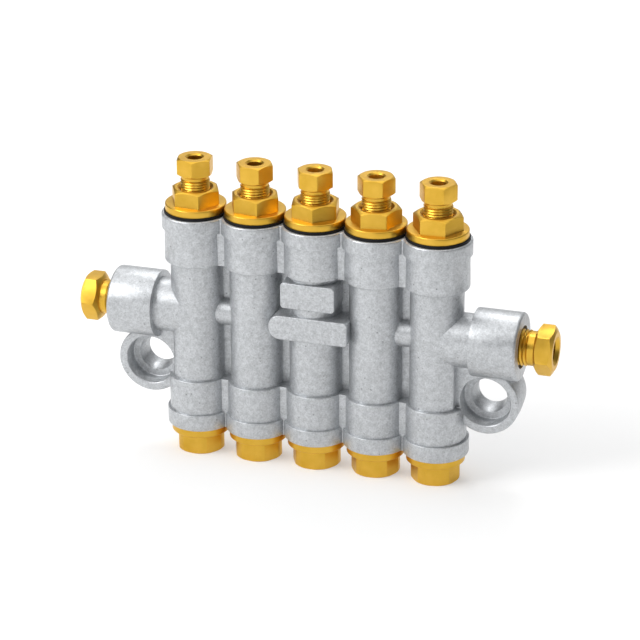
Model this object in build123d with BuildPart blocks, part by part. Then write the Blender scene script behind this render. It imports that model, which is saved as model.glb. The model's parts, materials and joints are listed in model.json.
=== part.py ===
from build123d import *
import os
from math import cos, radians, sqrt, tan

# Single-line lubrication distributor: a cast body with a row of metering columns, a supply
# line through all of them and a compression fitting on every outlet and on both supply ports.
# Sizes are in millimetres. X runs along the row, Y points back to the mounting surface and
# Z points up. The origin is on the floor below the middle outlet.

# Row of outlets
outlet_count = 5
outlet_pitch = 17.0

# Cast columns, from the underside up
low_collar_radius = 9.07
low_collar_height = 4.73
low_shoulder_radius = 8.35
low_shoulder_height = 9.77
barrel_radius = 7.3
barrel_height = 34.05
top_shoulder_radius = 8.8
top_shoulder_height = 9.6
top_collar_radius = 9.37
top_collar_height = 4.1
low_edge_rounding = 1.0
low_shoulder_rounding = 0.4
top_shoulder_rounding = 1.3
top_edge_rounding = 0.8

# Walls between the columns, by the Y of their faces
low_wall_front = -3.5
barrel_wall_front = 0.3
top_wall_front = -4.35
wall_back = 4.35

# Supply line, its height taken from the underside of the casting
gallery_height = 33.7
gallery_radius = 2.5
cross_tube_radius = 3.75

# Side bosses, measured outwards from the last outlet's axis
neck_radius = 7.45
neck_length = 10.77
boss_radius = 9.31
boss_length = 12.93
boss_rounding = 1.0

# Mounting lugs
lug_offset = 13.95
lug_drop = 16.95
lug_radius = 9.35
lug_draft = 0.5
lug_front = -1.4
lug_parting = 4.0
lug_rounding = 0.6
lug_bore_radius = 7.0
lug_bore_depth = 4.75
lug_hole_radius = 4.4

# Raised pads on the middle column
pad_front = -8.0
pad_rounding = 1.0
top_pad_width = 15.2
top_pad_height = 7.0
top_pad_rise = 10.05
low_pad_width = 22.2
low_pad_height = 6.7
low_pad_rise = 0.5
low_pad_left_rounding = 3.0

# Clearances
thread_clearance = 0.1
thread_end_gap = 1.0
seal_gap = 0.2
seat_gap = 0.1
sliding_clearance = 0.06
tube_clearance = 0.05
rest_gap = 0.2

# Machined column bores
metering_bore_radius = 4.5
column_thread_radius = 6.0
top_thread_depth = 11.7
low_thread_depth = 8.05
plug_seal_width = 1.0
seal_seat_depth = 1.5

# End plugs
plug_across_flats = 13.0
plug_corner_cut = 0.756
plug_hex_height = 5.65
plug_edge_rounding = 0.5
plug_flange_gap = 0.9
plug_rim_height = 1.0
plug_turns = (22.5, 22.5, 27.0, 33.5, 40.0)

# Flat seals under the metering nipples
top_seal_inset = 0.15
top_seal_thickness = 0.55

# Metering nipples
nipple_flange_gap = 0.3
nipple_flange_thickness = 2.15
nipple_across_flats = 12.0
nipple_hex_height = 4.4
nipple_face_radius = 5.55
nipple_flange_edge = 0.3
nipple_mouth_radius = 4.85
nipple_turns = (26.0, 23.0, 11.0, 39.5, 31.5)
pilot_end_rise = 4.35
riser_top_radius = 2.2
riser_radius = 1.5
riser_bore_radius = 0.8
riser_port_radius = 0.4
riser_bead_radius = 2.1
riser_bead_height = 1.0
riser_bead_gap = 0.4
tube_stop_depth = 2.0

# Control collars, hung below the supply line
collar_stop_drop = 2.65
collar_height = 2.0
collar_travel = 1.5
collar_groove_depth = 0.9
collar_lip = 0.3

# Metering pistons
piston_length = 6.8
piston_wall = 0.59
piston_cup_depth = 3.5
piston_edge = 0.3

# Return springs
spring_wire_radius = 0.35
spring_clearance = 0.3
spring_turns = 6
spigot_clearance = 0.25
spigot_height = 2.0

# Outlet fittings for a 4 mm tube
outlet_tube_radius = 2.0
outlet_thread_radius = 4.0
outlet_thread_length = 8.3
outlet_thread_reveal = 2.3
outlet_neck_radius = 3.7
outlet_neck_length = 0.9
outlet_nut_across_flats = 9.0
outlet_nut_height = 5.25
outlet_nut_face_radius = 4.4
outlet_nut_foot_radius = 3.8
outlet_mouth_radius = 2.95
outlet_nut_turns = (10.0, 30.5, 23.0, 34.5, 31.0)
outlet_ferrule_radius = 2.95
outlet_ferrule_belt = 1.0
outlet_ferrule_taper = 1.3

# Supply port fittings for a 6 mm tube
port_tube_radius = 3.0
port_thread_radius = 5.0
port_thread_length = 7.95
port_thread_reveal = 2.05
port_neck_radius = 4.7
port_neck_length = 1.85
port_nut_across_flats = 12.0
port_nut_height = 5.2
port_nut_face_radius = 5.2
port_nut_foot_radius = 5.2
port_mouth_radius = 4.0
port_nut_turns = {"left": 0.0, "right": -11.0}
port_ferrule_radius = 4.1
port_ferrule_belt = 1.2
port_ferrule_taper = 1.6
port_recess_radius = 5.85
port_recess_depth = 1.2

# Shapes shared by the fittings
ferrule_angle = 20.0
nut_face_angle = 30.0
nut_foot_angle = 32.0
thread_lead = 0.5
front_angle = -90.0
rounding_share = 0.45
step_share = 0.9


def corner_radius(across_flats):
    """Distance from the middle of a hexagon to its corners."""
    return across_flats / 2 / cos(radians(30))


# Radii that follow from their neighbours
seal_seat_radius = column_thread_radius + plug_seal_width
plug_corner_radius = corner_radius(plug_across_flats) - plug_corner_cut
plug_flange_radius = (outlet_pitch - plug_flange_gap) / 2
nipple_flange_radius = (outlet_pitch - nipple_flange_gap) / 2
top_seal_radius = nipple_flange_radius - top_seal_inset
piston_radius = metering_bore_radius - sliding_clearance
piston_cup_radius = piston_radius - piston_wall
spring_mean_radius = piston_cup_radius - spring_clearance - spring_wire_radius
spigot_radius = spring_mean_radius - spring_wire_radius - spigot_clearance

# Places worked out from the sizes above
outlet_x = [(n - (outlet_count - 1) / 2) * outlet_pitch for n in range(outlet_count)]
last_x = outlet_x[-1]
plug_cone_height = plug_flange_radius - plug_corner_radius
casting_low = plug_hex_height + plug_cone_height + plug_rim_height
low_shoulder_low = casting_low + low_collar_height
barrel_low = low_shoulder_low + low_shoulder_height
barrel_top = barrel_low + barrel_height
top_collar_low = barrel_top + top_shoulder_height
casting_top = top_collar_low + top_collar_height
gallery_z = casting_low + gallery_height
boss_low = last_x + neck_length
boss_face = boss_low + boss_length
lug_x = last_x + lug_offset
lug_z = gallery_z - lug_drop
mount_face = top_collar_radius
low_pad_corner = min(low_pad_left_rounding, rounding_share * low_pad_height)
top_shoulder_edge = min(top_shoulder_rounding, step_share * (top_shoulder_radius - barrel_radius))

top_thread_low = casting_top - top_thread_depth
low_thread_top = casting_low + low_thread_depth
plug_top = low_thread_top - thread_end_gap
nipple_flange_low = casting_top + top_seal_thickness
nipple_hex_low = nipple_flange_low + nipple_flange_thickness
nipple_top = nipple_hex_low + nipple_hex_height
nipple_thread_end = top_thread_low + thread_end_gap
pilot_end = gallery_z + pilot_end_rise
collar_stop = gallery_z - collar_stop_drop
collar_top = collar_stop - seat_gap
collar_low = collar_top - collar_height
bead_top = collar_low - collar_travel - riser_bead_gap
riser_end = bead_top - riser_bead_height
riser_port_z = collar_low - collar_travel / 2
piston_top = riser_end - rest_gap
piston_low = piston_top - piston_length
spring_low = plug_top + seat_gap
spring_top = piston_low + piston_cup_depth - seat_gap

outlet_thread_top = nipple_top + outlet_thread_reveal
outlet_nut_low = outlet_thread_top + outlet_neck_length
outlet_nut_top = outlet_nut_low + outlet_nut_height
outlet_nut_end = outlet_thread_top - outlet_thread_length
outlet_belt_top = outlet_nut_end - seat_gap
outlet_belt_low = outlet_belt_top - outlet_ferrule_belt
outlet_seat_mouth = outlet_belt_low - seat_gap
outlet_bore_radius = outlet_tube_radius + tube_clearance
outlet_cone_depth = (outlet_ferrule_radius - outlet_bore_radius) / tan(radians(ferrule_angle))
outlet_tube_stop = outlet_seat_mouth - outlet_cone_depth - tube_stop_depth

port_thread_out = boss_face + port_thread_reveal
port_nut_low = port_thread_out + port_neck_length
port_nut_out = port_nut_low + port_nut_height
port_nut_end = port_thread_out - port_thread_length
port_belt_out = port_nut_end - seat_gap
port_belt_in = port_belt_out - port_ferrule_belt
port_seat_mouth = port_belt_in - seat_gap
port_bore_radius = port_tube_radius + tube_clearance
port_cone_depth = (port_ferrule_radius - port_bore_radius) / tan(radians(ferrule_angle))
port_tube_stop = port_seat_mouth - port_cone_depth - tube_stop_depth

sides = {"left": -1, "right": 1}


def column_plane(x):
    """Plane through a column's axis: local X is the radius and local Y the height."""
    return Plane(origin=(x, 0, 0), x_dir=(1, 0, 0), z_dir=(0, -1, 0))


def column_axis(x):
    """Upright axis of a column."""
    return Axis((x, 0, 0), (0, 0, 1))


def port_plane(side):
    """Plane through the supply line: local X runs outwards and local Y is the radius."""
    return Plane(origin=(0, 0, gallery_z), x_dir=(side, 0, 0), z_dir=(0, -side, 0))


def lug_plane(side):
    """Plane through a lug's axis: local X is the radius and local Y the depth."""
    return Plane(origin=(side * lug_x, 0, lug_z), x_dir=(side, 0, 0), z_dir=(0, 0, side))


def hexagon_angle(turns, number):
    """Direction of a hexagon's first corner; the turns count from the front and repeat along the row."""
    return turns[(number - 1) % len(turns)] + front_angle


def cone_drop(across_flats, inner_radius, angle):
    """Height of the cone that takes a hexagon's corners down to a smaller radius."""
    return (corner_radius(across_flats) - inner_radius) * tan(radians(angle))


supply_axis = Axis((0, 0, gallery_z), (1, 0, 0))
os.makedirs("parts", exist_ok=True)

# Cast body
with BuildPart() as body:
    # Columns
    for x in outlet_x:
        with BuildSketch(column_plane(x)):
            with BuildLine():
                FilletPolyline(
                    (0, casting_low),
                    (low_collar_radius, casting_low),
                    (low_collar_radius, low_shoulder_low),
                    (low_shoulder_radius, low_shoulder_low),
                    (low_shoulder_radius, barrel_low),
                    (barrel_radius, barrel_low),
                    (barrel_radius, barrel_top),
                    (top_shoulder_radius, barrel_top),
                    (top_shoulder_radius, top_collar_low),
                    (top_collar_radius, top_collar_low),
                    (top_collar_radius, casting_top),
                    (0, casting_top),
                    radius=[0, low_edge_rounding, 0, 0, low_shoulder_rounding, 0,
                            0, top_shoulder_edge, 0, 0, top_edge_rounding, 0],
                    close=True,
                )
            make_face()
        revolve(axis=column_axis(x))

    # Walls that join the columns
    for low, high, front in (
        (casting_low, barrel_low, low_wall_front),
        (barrel_low, barrel_top, barrel_wall_front),
        (barrel_top, casting_top, top_wall_front),
    ):
        with BuildSketch(Plane.XY.offset(low)):
            with Locations((0, (front + wall_back) / 2)):
                Rectangle(2 * last_x, wall_back - front)
        extrude(amount=high - low)

    # Tube that carries the supply line from column to column
    with BuildSketch(Plane.YZ.offset(-last_x)):
        with Locations((0, gallery_z)):
            Circle(cross_tube_radius)
    extrude(amount=2 * last_x)

    for side in sides.values():
        # Neck and boss of the supply port
        with BuildSketch(port_plane(side)):
            with BuildLine():
                FilletPolyline(
                    (last_x, 0),
                    (boss_face, 0),
                    (boss_face, boss_radius),
                    (boss_low, boss_radius),
                    (boss_low, neck_radius),
                    (last_x, neck_radius),
                    radius=[0, 0, boss_rounding, 0, 0, 0],
                    close=True,
                )
            make_face()
        revolve(axis=supply_axis)

        # Lug, drafted behind its parting line
        with BuildSketch(lug_plane(side)):
            with BuildLine():
                FilletPolyline(
                    (0, lug_front),
                    (lug_radius, lug_front),
                    (lug_radius, lug_parting),
                    (lug_radius - lug_draft, mount_face),
                    (0, mount_face),
                    radius=[0, lug_rounding, 0, 0, 0],
                    close=True,
                )
            make_face()
        revolve(axis=Axis((side * lug_x, 0, lug_z), (0, 1, 0)))

        # Gusset between the lug, the column and the boss
        with BuildSketch(Plane.XY.offset(lug_z)):
            with Locations((side * (last_x + lug_x) / 2, (lug_front + wall_back) / 2)):
                Rectangle(lug_x - last_x, wall_back - lug_front)
        extrude(amount=gallery_z - lug_z)

    # Raised pads on the middle column
    with BuildSketch(Plane.XZ.offset(-barrel_wall_front)):
        with Locations((0, gallery_z + top_pad_rise)):
            RectangleRounded(top_pad_width, top_pad_height, pad_rounding)
    extrude(amount=barrel_wall_front - pad_front)
    with BuildSketch(Plane.XZ.offset(-barrel_wall_front)) as low_pad:
        with Locations((0, gallery_z + low_pad_rise)):
            Rectangle(low_pad_width, low_pad_height)
        fillet(low_pad.vertices().group_by(Axis.X)[0], low_pad_corner)
        fillet(low_pad.vertices().group_by(Axis.X)[-1], pad_rounding)
    extrude(amount=barrel_wall_front - pad_front)

    # Column bores: seal seat, plug thread, metering bore and nipple thread
    for x in outlet_x:
        with BuildSketch(column_plane(x)):
            with BuildLine():
                Polyline(
                    (0, casting_low),
                    (seal_seat_radius, casting_low),
                    (seal_seat_radius, casting_low + seal_seat_depth),
                    (column_thread_radius + thread_clearance, casting_low + seal_seat_depth),
                    (column_thread_radius + thread_clearance, low_thread_top),
                    (metering_bore_radius, low_thread_top),
                    (metering_bore_radius, top_thread_low),
                    (column_thread_radius + thread_clearance, top_thread_low),
                    (column_thread_radius + thread_clearance, casting_top),
                    (0, casting_top),
                    close=True,
                )
            make_face()
        revolve(axis=column_axis(x), mode=Mode.SUBTRACT)

    # Supply line, drilled from end to end
    with BuildSketch(Plane.YZ.offset(-port_seat_mouth)):
        with Locations((0, gallery_z)):
            Circle(gallery_radius)
    extrude(amount=2 * port_seat_mouth, mode=Mode.SUBTRACT)

    for side in sides.values():
        # Port: recess, thread, cone for the ferrule and socket for the tube's end
        with BuildSketch(port_plane(side)):
            with BuildLine():
                Polyline(
                    (port_tube_stop, 0),
                    (port_tube_stop, port_bore_radius),
                    (port_seat_mouth - port_cone_depth, port_bore_radius),
                    (port_seat_mouth, port_ferrule_radius),
                    (port_seat_mouth, port_thread_radius + thread_clearance),
                    (boss_face - port_recess_depth, port_thread_radius + thread_clearance),
                    (boss_face - port_recess_depth, port_recess_radius),
                    (boss_face, port_recess_radius),
                    (boss_face, 0),
                    close=True,
                )
            make_face()
        revolve(axis=supply_axis, mode=Mode.SUBTRACT)

        # Screw hole of the lug
        with Locations(Plane(origin=(side * lug_x, lug_front, lug_z), z_dir=(0, -1, 0))):
            CounterBoreHole(lug_hole_radius, lug_bore_radius, lug_bore_depth)

body.part.label = "distributor_body"
export_step(body.part, "parts/distributor_body.step")

# End plugs
for number, x in enumerate(outlet_x, start=1):
    with BuildPart() as end_plug:
        # Hexagon with its corners turned down and its lower edge rounded
        with BuildSketch():
            with Locations((x, 0)):
                plug_angle = hexagon_angle(plug_turns, number)
                RegularPolygon(corner_radius(plug_across_flats), 6, rotation=plug_angle)
        extrude(amount=plug_hex_height + plug_cone_height)
        with BuildSketch(column_plane(x)):
            with BuildLine():
                FilletPolyline(
                    (0, 0),
                    (plug_corner_radius, 0),
                    (plug_corner_radius, plug_hex_height + plug_cone_height),
                    (0, plug_hex_height + plug_cone_height),
                    radius=[0, plug_edge_rounding, 0, 0],
                    close=True,
                )
            make_face()
        revolve(axis=column_axis(x), mode=Mode.INTERSECT)

        # Flange with a cone under it, threaded shank and spigot for the spring
        with BuildSketch(column_plane(x)):
            with BuildLine():
                Polyline(
                    (0, plug_hex_height),
                    (plug_corner_radius, plug_hex_height),
                    (plug_flange_radius, plug_hex_height + plug_cone_height),
                    (plug_flange_radius, casting_low),
                    (column_thread_radius, casting_low),
                    (column_thread_radius, plug_top - thread_lead),
                    (column_thread_radius - thread_lead, plug_top),
                    (spigot_radius, plug_top),
                    (spigot_radius, plug_top + spigot_height - thread_lead),
                    (spigot_radius - thread_lead, plug_top + spigot_height),
                    (0, plug_top + spigot_height),
                    close=True,
                )
            make_face()
        revolve(axis=column_axis(x))
    end_plug.part.label = f"end_plug_{number}"
    export_step(end_plug.part, f"parts/end_plug_{number}.step")

# Seals in the seats above the plug flanges
for number, x in enumerate(outlet_x, start=1):
    with BuildPart() as plug_seal:
        with BuildSketch(Plane.XY.offset(casting_low)):
            with Locations((x, 0)):
                Circle(seal_seat_radius - seat_gap)
                Circle(column_thread_radius + seal_gap, mode=Mode.SUBTRACT)
        extrude(amount=seal_seat_depth - seat_gap)
    plug_seal.part.label = f"plug_seal_{number}"
    export_step(plug_seal.part, f"parts/plug_seal_{number}.step")

# Return springs between the plugs and the pistons, each turn two half circles tilted in turn
spring_pitch = (spring_top - spring_low - 2 * spring_wire_radius) / spring_turns
half_turn_radius = sqrt(spring_mean_radius**2 + (spring_pitch / 4) ** 2)
for number, x in enumerate(outlet_x, start=1):
    with BuildPart() as return_spring:
        with BuildLine() as coil:
            for half in range(2 * spring_turns):
                way = 1 if half % 2 == 0 else -1
                height = spring_low + spring_wire_radius + half * spring_pitch / 2
                ThreePointArc(
                    (x + way * spring_mean_radius, 0, height),
                    (x, way * half_turn_radius, height + spring_pitch / 4),
                    (x - way * spring_mean_radius, 0, height + spring_pitch / 2),
                )
        with BuildSketch(Plane(origin=coil.line @ 0, z_dir=coil.line % 0)):
            Circle(spring_wire_radius)
        sweep()
    return_spring.part.label = f"return_spring_{number}"
    export_step(return_spring.part, f"parts/return_spring_{number}.step")

# Metering pistons, cupped underneath for the spring
for number, x in enumerate(outlet_x, start=1):
    with BuildPart() as metering_piston:
        with BuildSketch(column_plane(x)):
            with BuildLine():
                Polyline(
                    (0, piston_top),
                    (piston_radius - piston_edge, piston_top),
                    (piston_radius, piston_top - piston_edge),
                    (piston_radius, piston_low),
                    (piston_cup_radius, piston_low),
                    (piston_cup_radius, piston_low + piston_cup_depth),
                    (0, piston_low + piston_cup_depth),
                    close=True,
                )
            make_face()
        revolve(axis=column_axis(x))
    metering_piston.part.label = f"metering_piston_{number}"
    export_step(metering_piston.part, f"parts/metering_piston_{number}.step")

# Rubber control collars that slide on the risers, with a lip round the upper edge
collar_bore_radius = riser_radius + sliding_clearance
for number, x in enumerate(outlet_x, start=1):
    with BuildPart() as control_collar:
        with BuildSketch(column_plane(x)):
            with BuildLine():
                Polyline(
                    (collar_bore_radius, collar_low),
                    (piston_radius, collar_low),
                    (piston_radius, collar_top),
                    (piston_radius - collar_lip, collar_top),
                    ((piston_radius + riser_top_radius) / 2, collar_top - collar_groove_depth),
                    (riser_top_radius, collar_top),
                    (collar_bore_radius, collar_top),
                    close=True,
                )
            make_face()
        revolve(axis=column_axis(x))
    control_collar.part.label = f"control_collar_{number}"
    export_step(control_collar.part, f"parts/control_collar_{number}.step")

# Flat seals between the casting and the nipple flanges
for number, x in enumerate(outlet_x, start=1):
    with BuildPart() as nipple_seal:
        with BuildSketch(Plane.XY.offset(casting_top)):
            with Locations((x, 0)):
                Circle(top_seal_radius)
                Circle(column_thread_radius + seal_gap, mode=Mode.SUBTRACT)
        extrude(amount=top_seal_thickness)
    nipple_seal.part.label = f"nipple_seal_{number}"
    export_step(nipple_seal.part, f"parts/nipple_seal_{number}.step")

# Metering nipples: hexagon and flange outside, thread, pilot and riser inside
nipple_corner = corner_radius(nipple_across_flats)
nipple_drop = cone_drop(nipple_across_flats, nipple_face_radius, nut_face_angle)
outlet_thread_bore = outlet_thread_radius + thread_clearance
riser_bore_low = riser_port_z - riser_bore_radius
for number, x in enumerate(outlet_x, start=1):
    with BuildPart() as metering_nipple:
        # Hexagon with its upper corners chamfered
        with BuildSketch(Plane.XY.offset(nipple_hex_low)):
            with Locations((x, 0)):
                RegularPolygon(nipple_corner, 6, rotation=hexagon_angle(nipple_turns, number))
        extrude(amount=nipple_hex_height)
        with BuildSketch(column_plane(x)):
            with BuildLine():
                Polyline(
                    (0, nipple_hex_low),
                    (nipple_corner, nipple_hex_low),
                    (nipple_corner, nipple_top - nipple_drop),
                    (nipple_face_radius, nipple_top),
                    (0, nipple_top),
                    close=True,
                )
            make_face()
        revolve(axis=column_axis(x), mode=Mode.INTERSECT)

        # Flange, shank, pilot, riser and the bead at its end
        with BuildSketch(column_plane(x)):
            with BuildLine():
                Polyline(
                    (0, nipple_hex_low),
                    (nipple_flange_radius - nipple_flange_edge, nipple_hex_low),
                    (nipple_flange_radius, nipple_hex_low - nipple_flange_edge),
                    (nipple_flange_radius, nipple_flange_low),
                    (column_thread_radius, nipple_flange_low),
                    (column_thread_radius, nipple_thread_end + thread_lead),
                    (column_thread_radius - thread_lead, nipple_thread_end),
                    (piston_radius, nipple_thread_end),
                    (piston_radius, pilot_end),
                    (riser_top_radius, pilot_end),
                    (riser_top_radius, collar_stop),
                    (riser_radius, collar_stop),
                    (riser_radius, bead_top),
                    (riser_bead_radius, bead_top),
                    (riser_bead_radius, riser_end),
                    (0, riser_end),
                    close=True,
                )
            make_face()
        revolve(axis=column_axis(x))

        # Thread for the outlet nut, ferrule cone, tube socket and the bore down the riser
        with BuildSketch(column_plane(x)):
            with BuildLine():
                Polyline(
                    (0, riser_bore_low),
                    (riser_bore_radius, riser_bore_low),
                    (riser_bore_radius, outlet_tube_stop),
                    (outlet_bore_radius, outlet_tube_stop),
                    (outlet_bore_radius, outlet_seat_mouth - outlet_cone_depth),
                    (outlet_ferrule_radius, outlet_seat_mouth),
                    (outlet_thread_bore, outlet_seat_mouth),
                    (outlet_thread_bore, nipple_top - (nipple_mouth_radius - outlet_thread_bore)),
                    (nipple_mouth_radius, nipple_top),
                    (0, nipple_top),
                    close=True,
                )
            make_face()
        revolve(axis=column_axis(x), mode=Mode.SUBTRACT)

        # Cross port that the control collar opens and covers
        with BuildSketch(Plane.YZ.offset(x)):
            with Locations((0, riser_port_z)):
                Circle(riser_port_radius)
        extrude(amount=riser_bead_radius, both=True, mode=Mode.SUBTRACT)
    metering_nipple.part.label = f"metering_nipple_{number}"
    export_step(metering_nipple.part, f"parts/metering_nipple_{number}.step")

# Double-cone ferrules of the outlet tubes
outlet_ferrule_end = outlet_ferrule_radius - outlet_ferrule_taper * tan(radians(ferrule_angle))
for number, x in enumerate(outlet_x, start=1):
    with BuildPart() as outlet_ferrule:
        with BuildSketch(column_plane(x)):
            with BuildLine():
                Polyline(
                    (outlet_bore_radius, outlet_belt_low - outlet_ferrule_taper),
                    (outlet_ferrule_end, outlet_belt_low - outlet_ferrule_taper),
                    (outlet_ferrule_radius, outlet_belt_low),
                    (outlet_ferrule_radius, outlet_belt_top),
                    (outlet_ferrule_end, outlet_belt_top + outlet_ferrule_taper),
                    (outlet_bore_radius, outlet_belt_top + outlet_ferrule_taper),
                    close=True,
                )
            make_face()
        revolve(axis=column_axis(x))
    outlet_ferrule.part.label = f"outlet_ferrule_{number}"
    export_step(outlet_ferrule.part, f"parts/outlet_ferrule_{number}.step")

# Outlet nuts: sleeve nuts that press the ferrules on the tubes
outlet_nut_corner = corner_radius(outlet_nut_across_flats)
outlet_nut_foot = cone_drop(outlet_nut_across_flats, outlet_nut_foot_radius, nut_foot_angle)
outlet_nut_drop = cone_drop(outlet_nut_across_flats, outlet_nut_face_radius, nut_face_angle)
for number, x in enumerate(outlet_x, start=1):
    with BuildPart() as outlet_nut:
        # Hexagon coned at both ends
        with BuildSketch(Plane.XY.offset(outlet_nut_low)):
            with Locations((x, 0)):
                nut_angle = hexagon_angle(outlet_nut_turns, number)
                RegularPolygon(outlet_nut_corner, 6, rotation=nut_angle)
        extrude(amount=outlet_nut_height)
        with BuildSketch(column_plane(x)):
            with BuildLine():
                Polyline(
                    (0, outlet_nut_low),
                    (outlet_nut_foot_radius, outlet_nut_low),
                    (outlet_nut_corner, outlet_nut_low + outlet_nut_foot),
                    (outlet_nut_corner, outlet_nut_top - outlet_nut_drop),
                    (outlet_nut_face_radius, outlet_nut_top),
                    (0, outlet_nut_top),
                    close=True,
                )
            make_face()
        revolve(axis=column_axis(x), mode=Mode.INTERSECT)

        # Neck and threaded sleeve
        with BuildSketch(column_plane(x)):
            with BuildLine():
                Polyline(
                    (0, outlet_nut_low),
                    (outlet_neck_radius, outlet_nut_low),
                    (outlet_neck_radius, outlet_thread_top),
                    (outlet_thread_radius, outlet_thread_top),
                    (outlet_thread_radius, outlet_nut_end + thread_lead),
                    (outlet_thread_radius - thread_lead, outlet_nut_end),
                    (0, outlet_nut_end),
                    close=True,
                )
            make_face()
        revolve(axis=column_axis(x))

        # Tube bore with a cone for the ferrule below and a countersink above
        with BuildSketch(column_plane(x)):
            with BuildLine():
                Polyline(
                    (0, outlet_nut_end),
                    (outlet_ferrule_radius, outlet_nut_end),
                    (outlet_bore_radius, outlet_nut_end + outlet_cone_depth),
                    (outlet_bore_radius, outlet_nut_top - (outlet_mouth_radius - outlet_bore_radius)),
                    (outlet_mouth_radius, outlet_nut_top),
                    (0, outlet_nut_top),
                    close=True,
                )
            make_face()
        revolve(axis=column_axis(x), mode=Mode.SUBTRACT)
    outlet_nut.part.label = f"outlet_nut_{number}"
    export_step(outlet_nut.part, f"parts/outlet_nut_{number}.step")

# Double-cone ferrules of the supply tubes
port_ferrule_end = port_ferrule_radius - port_ferrule_taper * tan(radians(ferrule_angle))
for name, side in sides.items():
    with BuildPart() as port_ferrule:
        with BuildSketch(port_plane(side)):
            with BuildLine():
                Polyline(
                    (port_belt_in - port_ferrule_taper, port_bore_radius),
                    (port_belt_in - port_ferrule_taper, port_ferrule_end),
                    (port_belt_in, port_ferrule_radius),
                    (port_belt_out, port_ferrule_radius),
                    (port_belt_out + port_ferrule_taper, port_ferrule_end),
                    (port_belt_out + port_ferrule_taper, port_bore_radius),
                    close=True,
                )
            make_face()
        revolve(axis=supply_axis)
    port_ferrule.part.label = f"port_ferrule_{name}"
    export_step(port_ferrule.part, f"parts/port_ferrule_{name}.step")

# Port nuts: larger sleeve nuts on both ends of the supply line
port_nut_corner = corner_radius(port_nut_across_flats)
port_nut_foot = cone_drop(port_nut_across_flats, port_nut_foot_radius, nut_foot_angle)
port_nut_drop = cone_drop(port_nut_across_flats, port_nut_face_radius, nut_face_angle)
for name, side in sides.items():
    with BuildPart() as port_nut:
        # Hexagon coned at both ends
        nut_start = (side * port_nut_low, 0, gallery_z)
        with BuildSketch(Plane(origin=nut_start, x_dir=(0, -1, 0), z_dir=(side, 0, 0))):
            RegularPolygon(port_nut_corner, 6, rotation=-side * port_nut_turns[name])
        extrude(amount=port_nut_height)
        with BuildSketch(port_plane(side)):
            with BuildLine():
                Polyline(
                    (port_nut_low, 0),
                    (port_nut_low, port_nut_foot_radius),
                    (port_nut_low + port_nut_foot, port_nut_corner),
                    (port_nut_out - port_nut_drop, port_nut_corner),
                    (port_nut_out, port_nut_face_radius),
                    (port_nut_out, 0),
                    close=True,
                )
            make_face()
        revolve(axis=supply_axis, mode=Mode.INTERSECT)

        # Neck and threaded sleeve
        with BuildSketch(port_plane(side)):
            with BuildLine():
                Polyline(
                    (port_nut_low, 0),
                    (port_nut_low, port_neck_radius),
                    (port_thread_out, port_neck_radius),
                    (port_thread_out, port_thread_radius),
                    (port_nut_end + thread_lead, port_thread_radius),
                    (port_nut_end, port_thread_radius - thread_lead),
                    (port_nut_end, 0),
                    close=True,
                )
            make_face()
        revolve(axis=supply_axis)

        # Tube bore with a cone for the ferrule inside and a countersink outside
        with BuildSketch(port_plane(side)):
            with BuildLine():
                Polyline(
                    (port_nut_end, 0),
                    (port_nut_end, port_ferrule_radius),
                    (port_nut_end + port_cone_depth, port_bore_radius),
                    (port_nut_out - (port_mouth_radius - port_bore_radius), port_bore_radius),
                    (port_nut_out, port_mouth_radius),
                    (port_nut_out, 0),
                    close=True,
                )
            make_face()
        revolve(axis=supply_axis, mode=Mode.SUBTRACT)
    port_nut.part.label = f"port_nut_{name}"
    export_step(port_nut.part, f"parts/port_nut_{name}.step")
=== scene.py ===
# %% [markdown]
# # A lubrication distributor
# One rough casting carries everything here: five metering columns in a row, a supply line through
# all of them, a boss at each end and two mounting lugs. Bright turned brass is screwed into it.
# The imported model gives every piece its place, so the first step loads it and keeps its box. All
# new pieces are made around those places and never move them.
# %% Load the frame
import json
import math

import bpy
from mathutils import Matrix, Vector


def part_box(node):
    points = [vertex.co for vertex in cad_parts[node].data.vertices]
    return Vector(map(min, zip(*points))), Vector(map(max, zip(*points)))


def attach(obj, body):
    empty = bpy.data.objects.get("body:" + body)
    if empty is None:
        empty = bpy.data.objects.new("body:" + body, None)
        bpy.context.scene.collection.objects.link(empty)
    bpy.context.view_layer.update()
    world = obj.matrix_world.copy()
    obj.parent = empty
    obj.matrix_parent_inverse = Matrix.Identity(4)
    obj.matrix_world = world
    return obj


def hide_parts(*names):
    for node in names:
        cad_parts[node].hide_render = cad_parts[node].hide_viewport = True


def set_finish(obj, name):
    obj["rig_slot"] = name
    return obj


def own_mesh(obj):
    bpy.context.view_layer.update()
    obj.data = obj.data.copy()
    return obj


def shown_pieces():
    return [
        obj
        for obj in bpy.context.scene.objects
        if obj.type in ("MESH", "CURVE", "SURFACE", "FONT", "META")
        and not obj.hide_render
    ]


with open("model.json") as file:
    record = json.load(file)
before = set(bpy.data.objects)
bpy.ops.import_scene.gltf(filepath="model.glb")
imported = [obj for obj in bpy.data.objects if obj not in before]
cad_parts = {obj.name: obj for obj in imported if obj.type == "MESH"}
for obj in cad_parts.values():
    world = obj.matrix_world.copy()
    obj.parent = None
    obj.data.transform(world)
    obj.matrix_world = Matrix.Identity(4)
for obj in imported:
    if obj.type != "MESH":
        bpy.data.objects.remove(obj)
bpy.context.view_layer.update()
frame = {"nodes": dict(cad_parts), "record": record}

MM = 0.001
print("nodes in the frame:", len(frame["nodes"]))

# %% [markdown]
# Operators act on whatever is selected, and the loaded nodes come in selected. These helpers make
# sure that only the piece in hand is touched, and that a piece and its mesh share one name.
# %% Take one piece in hand


def deselect():
    """Leaves edit mode and clears the selection."""
    if bpy.context.object and bpy.context.object.mode != "OBJECT":
        bpy.ops.object.mode_set(mode="OBJECT")
    bpy.ops.object.select_all(action="DESELECT")


def take(piece):
    """Selects one piece and makes it active."""
    deselect()
    piece.select_set(True)
    bpy.context.view_layer.objects.active = piece
    return piece


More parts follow.
